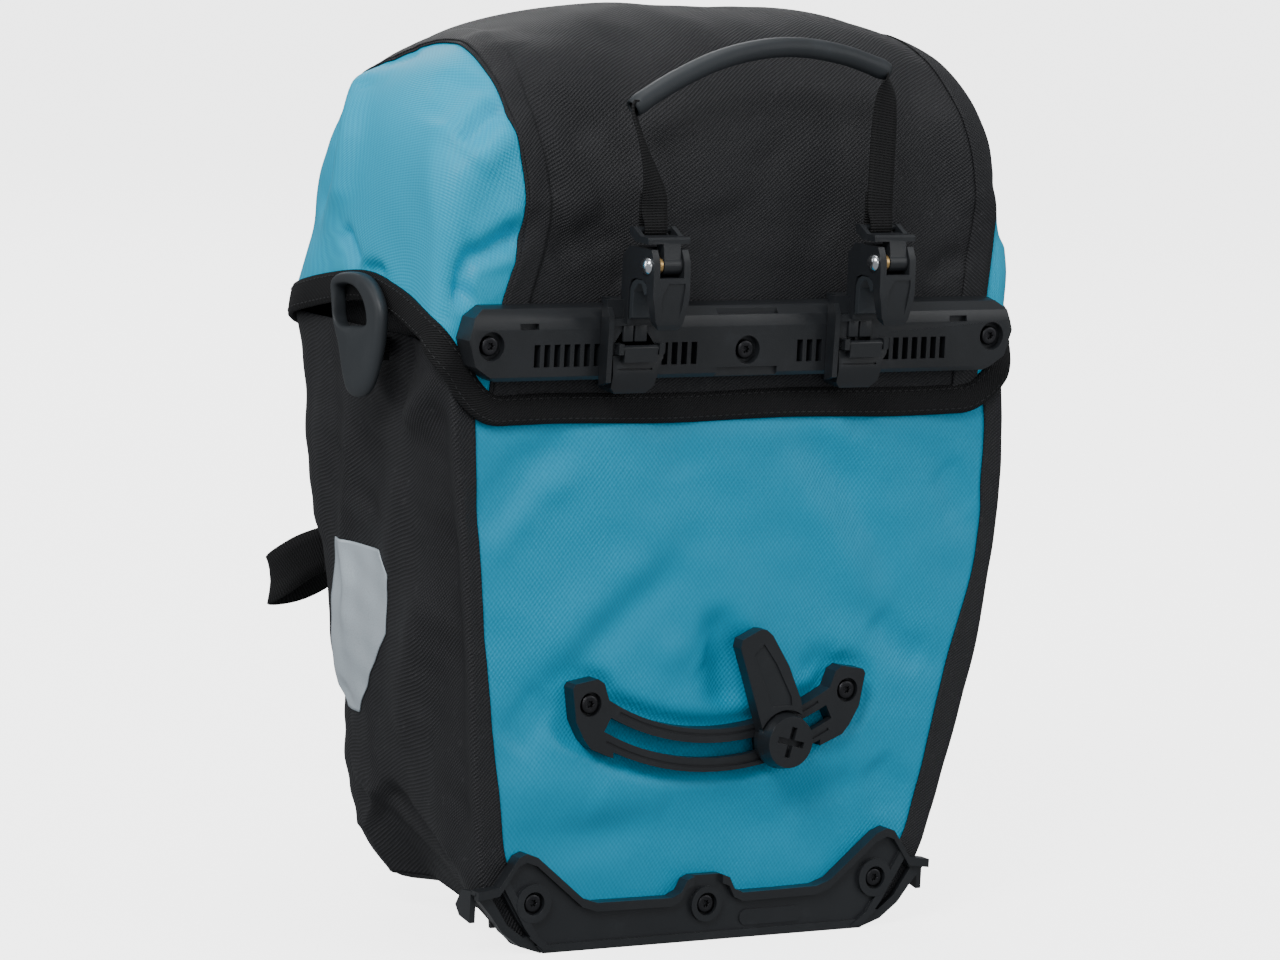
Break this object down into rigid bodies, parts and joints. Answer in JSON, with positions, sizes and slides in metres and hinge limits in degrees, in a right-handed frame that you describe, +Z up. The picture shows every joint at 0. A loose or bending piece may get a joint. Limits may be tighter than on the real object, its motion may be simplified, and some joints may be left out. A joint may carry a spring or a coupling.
{
  "type": "pannier bag",
  "caption": "Hook-on bicycle pannier bag with hooded lid, clamp hooks on a rail, carrying handle, curved lower rail with turning fin, and bottom protector.",
  "frame": {"origin": "underside of the bottom protector's lip, below the middle of the back panel's outer face", "axes": "+Z up; the rack side with the hooks faces -Y and the street side +Y; X runs along the bicycle rack"},
  "size_m": [0.34, 0.2427, 0.4399],
  "materials": {
    "blue_fabric": "coated ripstop weave, satin",
    "black_fabric": "coated diagonal twill, matt",
    "webbing": "ribbed polyester webbing",
    "hard_plastic": "fine moulded texture",
    "soft_plastic": "satin moulded",
    "board_plastic": "plain sheet",
    "steel": "polished rivet",
    "dark_steel": "blackened screw",
    "brass": "plated",
    "reflective": "glass-bead reflective film"
  },
  "bodies": {
    "bag": {"back_panel": "blue_fabric", "side_panel_left": "black_fabric", "side_panel_right": "black_fabric", "front_panel": "black_fabric", "bottom_panel": "black_fabric", "back_board": "board_plastic", "rail_backing_strip": "board_plastic", "arc_backing_strip": "board_plastic", "guard_backing_strip": "board_plastic", "inner_collar": "black_fabric", "collar_cord": "webbing", "cord_lock_body": "hard_plastic", "lid_anchor_band": "black_fabric", "hook_rail": "hard_plastic", "rail_screw_left": "dark_steel", "rail_screw_centre": "dark_steel", "rail_screw_right": "dark_steel", "arc_rail": "hard_plastic", "arc_screw_left": "dark_steel", "arc_screw_right": "dark_steel", "bottom_guard": "hard_plastic", "guard_screw_left": "dark_steel", "guard_screw_centre": "dark_steel", "guard_screw_right": "dark_steel", "side_hook_left": "soft_plastic", "side_hook_right": "soft_plastic", "side_hook_tab_left": "webbing", "side_hook_tab_right": "webbing", "reflector_left": "reflective", "reflector_right": "reflective", "cross_strap": "webbing", "strap_ladder_lock": "hard_plastic", "strap_loop": "webbing", "buckle_socket": "hard_plastic", "front_strap": "webbing"},
    "lid": {"lid_centre_panel": "black_fabric", "lid_side_left": "blue_fabric", "lid_side_right": "blue_fabric", "lid_strap": "webbing"},
    "plug": {"buckle_plug": "hard_plastic"},
    "cord_lock_button": {"cord_lock_button": "hard_plastic"},
    "hook_left": {"hook_body_left": "hard_plastic", "hook_insert_left": "hard_plastic", "hook_pin_left": "steel", "lever_spring_left": "brass"},
    "hook_right": {"hook_body_right": "hard_plastic", "hook_insert_right": "hard_plastic", "hook_pin_right": "steel", "lever_spring_right": "brass"},
    "lever_left": {"lever_left": "hard_plastic"},
    "lever_right": {"lever_right": "hard_plastic"},
    "latch_left": {"latch_left": "hard_plastic"},
    "latch_right": {"latch_right": "hard_plastic"},
    "handle": {"handle_webbing": "webbing", "handle_grip": "soft_plastic"},
    "fin_carriage": {"fin_carriage": "hard_plastic"},
    "fin": {"fin_blade": "hard_plastic"},
    "knob": {"fin_knob": "hard_plastic"}
  },
  "joints": [
    {"name": "lid_open", "type": "hinge", "parent": "bag", "child": "lid", "pos_m": [0, -0.0028, 0.355], "axis": [1, 0, 0], "range_deg": [0, 90]},
    {"name": "buckle_release", "type": "slide", "parent": "lid", "child": "plug", "axis": [0, 0, 1], "range_m": [0, 0.026]},
    {"name": "cord_lock_press", "type": "slide", "parent": "bag", "child": "cord_lock_button", "axis": [0, 0, -1], "range_m": [0, 0.004], "stiffness_N_per_m": 300, "springref_m": -0.002},
    {"name": "hook_left_slide", "type": "slide", "parent": "bag", "child": "hook_left", "axis": [1, 0, 0], "range_m": [-0.015, 0.015]},
    {"name": "hook_right_slide", "type": "slide", "parent": "bag", "child": "hook_right", "axis": [1, 0, 0], "range_m": [-0.015, 0.015]},
    {"name": "lever_left_lift", "type": "hinge", "parent": "hook_left", "child": "lever_left", "pos_m": [-0.0629, -0.0396, 0.3294], "axis": [1, 0, 0], "range_deg": [0, 20], "stiffness_Nm_per_rad": 0.05, "springref_deg": -11.46},
    {"name": "lever_right_lift", "type": "hinge", "parent": "hook_right", "child": "lever_right", "pos_m": [0.0629, -0.0396, 0.3294], "axis": [1, 0, 0], "range_deg": [0, 20], "stiffness_Nm_per_rad": 0.05, "springref_deg": -11.46},
    {"name": "latch_left_open", "type": "hinge", "parent": "hook_left", "child": "latch_left", "pos_m": [-0.0629, -0.02295, 0.2886], "axis": [-1, 0, 0], "range_deg": [0, 70]},
    {"name": "latch_right_open", "type": "hinge", "parent": "hook_right", "child": "latch_right", "pos_m": [0.0629, -0.02295, 0.2886], "axis": [-1, 0, 0], "range_deg": [0, 70]},
    {"name": "handle_fold", "type": "hinge", "parent": "lever_left", "child": "handle", "pos_m": [0, -0.0264, 0.3445], "axis": [1, 0, 0], "range_deg": [0, 90]},
    {"name": "fin_slide", "type": "hinge", "parent": "bag", "child": "fin_carriage", "pos_m": [0, 0, 0.226], "axis": [0, 1, 0], "range_deg": [-9, 37]},
    {"name": "fin_turn", "type": "hinge", "parent": "fin_carriage", "child": "fin", "pos_m": [0.0333, 0, 0.09724], "axis": [0, 1, 0], "range_deg": [-60, 60]},
    {"name": "knob_turn", "type": "hinge", "parent": "fin_carriage", "child": "knob", "pos_m": [0.0333, 0, 0.09724], "axis": [0, 1, 0], "range_deg": [-90, 90]}
  ],
  "couplings": [
    {"joint": "hook_right_slide", "follows": "hook_left_slide", "ratio": 1},
    {"joint": "lever_right_lift", "follows": "lever_left_lift", "ratio": 1},
    {"joint": "handle_fold", "follows": "lid_open", "ratio": 1}
  ]
}
